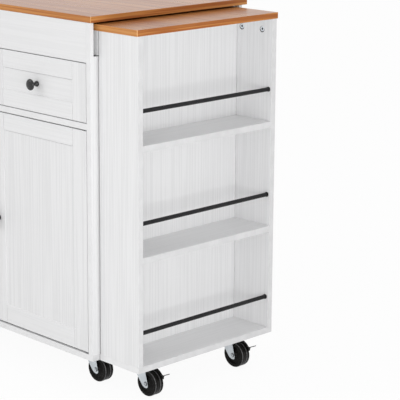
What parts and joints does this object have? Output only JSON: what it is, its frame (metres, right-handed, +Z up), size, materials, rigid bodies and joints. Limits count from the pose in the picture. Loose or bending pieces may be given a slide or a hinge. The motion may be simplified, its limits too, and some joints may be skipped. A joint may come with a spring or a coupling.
{
  "type": "kitchen island",
  "caption": "White kitchen island on casters with an oak worktop, drawers, doors and a rolling end cart that pulls out an extension leaf from under the top.",
  "frame": {"origin": "on the floor, under the middle of the island's box at rest", "axes": "+X along the island towards the pull-out cart, +Y from the drawer fronts to the back, +Z up"},
  "size_m": [0.924, 0.5426, 0.912],
  "materials": {
    "white_board": "white foil embossed with a fine upright wood grain on board",
    "oak_top": "honey oak grain, satin",
    "black_metal": "satin black powder coat",
    "zinc": "bright zinc plate, slightly blue",
    "black_tread": "moulded black nylon",
    "black_plastic": "moulded black plastic",
    "white_plastic": "moulded white plastic"
  },
  "bodies": {
    "cabinet": {"worktop": "oak_top", "side_panel_left": "white_board", "side_panel_right": "white_board", "base_panel": "white_board", "back_panel": "white_board", "centre_partition": "white_board", "tunnel_floor": "white_board", "drawer_dividers": "white_board", "front_apron": "white_board", "rear_apron": "white_board", "cabinet_shelves": "white_board", "shelf_pegs": "zinc", "drawer_tracks": "zinc", "door_bushes": "zinc", "door_catches": "white_plastic", "cabinet_caster_plates": "zinc"},
    "extension": {"extension_leaf": "oak_top", "leaf_rails": "white_board", "leaf_cross_rail": "white_board", "leaf_glides": "white_plastic", "cart_side_front": "white_board", "cart_side_rear": "white_board", "cart_back": "white_board", "cart_base": "white_board", "cart_shelf_lower": "white_board", "cart_shelf_upper": "white_board", "guard_rods": "black_metal", "rod_sockets": "black_plastic", "cart_cam_locks": "zinc", "cart_caster_plates": "zinc"},
    "drawer_left": {"drawer_left_front": "white_board", "drawer_left_box": "white_board", "drawer_left_bottom": "white_board", "drawer_left_sliders": "zinc", "drawer_left_knob": "black_metal"},
    "door_left": {"door_left_panel": "white_board", "door_left_pins": "zinc", "door_left_knob": "black_metal"},
    "drawer_right": {"drawer_right_front": "white_board", "drawer_right_box": "white_board", "drawer_right_bottom": "white_board", "drawer_right_sliders": "zinc", "drawer_right_knob": "black_metal"},
    "door_right": {"door_right_panel": "white_board", "door_right_pins": "zinc", "door_right_knob": "black_metal"},
    "fork_cabinet_front_left": {"fork_cabinet_front_left": "zinc"},
    "wheel_cabinet_front_left": {"wheel_cabinet_front_left": "black_tread"},
    "fork_cabinet_front_right": {"fork_cabinet_front_right": "zinc"},
    "wheel_cabinet_front_right": {"wheel_cabinet_front_right": "black_tread"},
    "fork_cabinet_rear_left": {"fork_cabinet_rear_left": "zinc"},
    "wheel_cabinet_rear_left": {"wheel_cabinet_rear_left": "black_tread"},
    "fork_cabinet_rear_right": {"fork_cabinet_rear_right": "zinc"},
    "wheel_cabinet_rear_right": {"wheel_cabinet_rear_right": "black_tread"},
    "fork_cart_front": {"fork_cart_front": "zinc"},
    "wheel_cart_front": {"wheel_cart_front": "black_tread"},
    "brake_cart_front": {"brake_cart_front": "black_plastic"},
    "fork_cart_rear": {"fork_cart_rear": "zinc"},
    "wheel_cart_rear": {"wheel_cart_rear": "black_tread"},
    "brake_cart_rear": {"brake_cart_rear": "black_plastic"}
  },
  "joints": [
    {"name": "extension_slide", "type": "slide", "parent": "cabinet", "child": "extension", "axis": [1, 0, 0], "range_m": [0, 0.56]},
    {"name": "drawer_left_slide", "type": "slide", "parent": "cabinet", "child": "drawer_left", "axis": [0, -1, 0], "range_m": [0, 0.3]},
    {"name": "door_left_hinge", "type": "hinge", "parent": "cabinet", "child": "door_left", "pos_m": [-0.43699, -0.23975, 0.37325], "axis": [0, 0, -1], "range_deg": [0, 105]},
    {"name": "drawer_right_slide", "type": "slide", "parent": "cabinet", "child": "drawer_right", "axis": [0, -1, 0], "range_m": [0, 0.3]},
    {"name": "door_right_hinge", "type": "hinge", "parent": "cabinet", "child": "door_right", "pos_m": [0.29201, -0.23975, 0.37325], "axis": [0, 0, 1], "range_deg": [0, 105]},
    {"name": "swivel_cabinet_front_left", "type": "hinge", "parent": "cabinet", "child": "fork_cabinet_front_left", "pos_m": [-0.37299, -0.16425, 0.0752], "axis": [0, 0, 1], "continuous": true},
    {"name": "roll_cabinet_front_left", "type": "hinge", "parent": "fork_cabinet_front_left", "child": "wheel_cabinet_front_left", "pos_m": [-0.35, -0.16345, 0.03175], "axis": [-0.0349, 0.9994, 0], "continuous": true},
    {"name": "swivel_cabinet_front_right", "type": "hinge", "parent": "cabinet", "child": "fork_cabinet_front_right", "pos_m": [0.22801, -0.16425, 0.0752], "axis": [0, 0, 1], "continuous": true},
    {"name": "roll_cabinet_front_right", "type": "hinge", "parent": "fork_cabinet_front_right", "child": "wheel_cabinet_front_right", "pos_m": [0.251, -0.16345, 0.03175], "axis": [-0.0349, 0.9994, 0], "continuous": true},
    {"name": "swivel_cabinet_rear_left", "type": "hinge", "parent": "cabinet", "child": "fork_cabinet_rear_left", "pos_m": [-0.37299, 0.17575, 0.0752], "axis": [0, 0, 1], "continuous": true},
    {"name": "roll_cabinet_rear_left", "type": "hinge", "parent": "fork_cabinet_rear_left", "child": "wheel_cabinet_rear_left", "pos_m": [-0.35, 0.17655, 0.03175], "axis": [-0.0349, 0.9994, 0], "continuous": true},
    {"name": "swivel_cabinet_rear_right", "type": "hinge", "parent": "cabinet", "child": "fork_cabinet_rear_right", "pos_m": [0.22801, 0.17575, 0.0752], "axis": [0, 0, 1], "continuous": true},
    {"name": "roll_cabinet_rear_right", "type": "hinge", "parent": "fork_cabinet_rear_right", "child": "wheel_cabinet_rear_right", "pos_m": [0.251, 0.17655, 0.03175], "axis": [-0.0349, 0.9994, 0], "continuous": true},
    {"name": "swivel_cart_front", "type": "hinge", "parent": "extension", "child": "fork_cart_front", "pos_m": [0.38401, -0.14325, 0.0752], "axis": [0, 0, 1], "continuous": true},
    {"name": "roll_cart_front", "type": "hinge", "parent": "fork_cart_front", "child": "wheel_cart_front", "pos_m": [0.407, -0.14245, 0.03175], "axis": [-0.0349, 0.9994, 0], "continuous": true},
    {"name": "brake_cart_front", "type": "hinge", "parent": "fork_cart_front", "child": "brake_cart_front", "pos_m": [0.4, -0.14269, 0.0695], "axis": [-0.0349, 0.9994, 0], "range_deg": [0, 4]},
    {"name": "swivel_cart_rear", "type": "hinge", "parent": "extension", "child": "fork_cart_rear", "pos_m": [0.38401, 0.15475, 0.0752], "axis": [0, 0, 1], "continuous": true},
    {"name": "roll_cart_rear", "type": "hinge", "parent": "fork_cart_rear", "child": "wheel_cart_rear", "pos_m": [0.407, 0.15555, 0.03175], "axis": [-0.0349, 0.9994, 0], "continuous": true},
    {"name": "brake_cart_rear", "type": "hinge", "parent": "fork_cart_rear", "child": "brake_cart_rear", "pos_m": [0.4, 0.15531, 0.0695], "axis": [-0.0349, 0.9994, 0], "range_deg": [0, 4]}
  ]
}
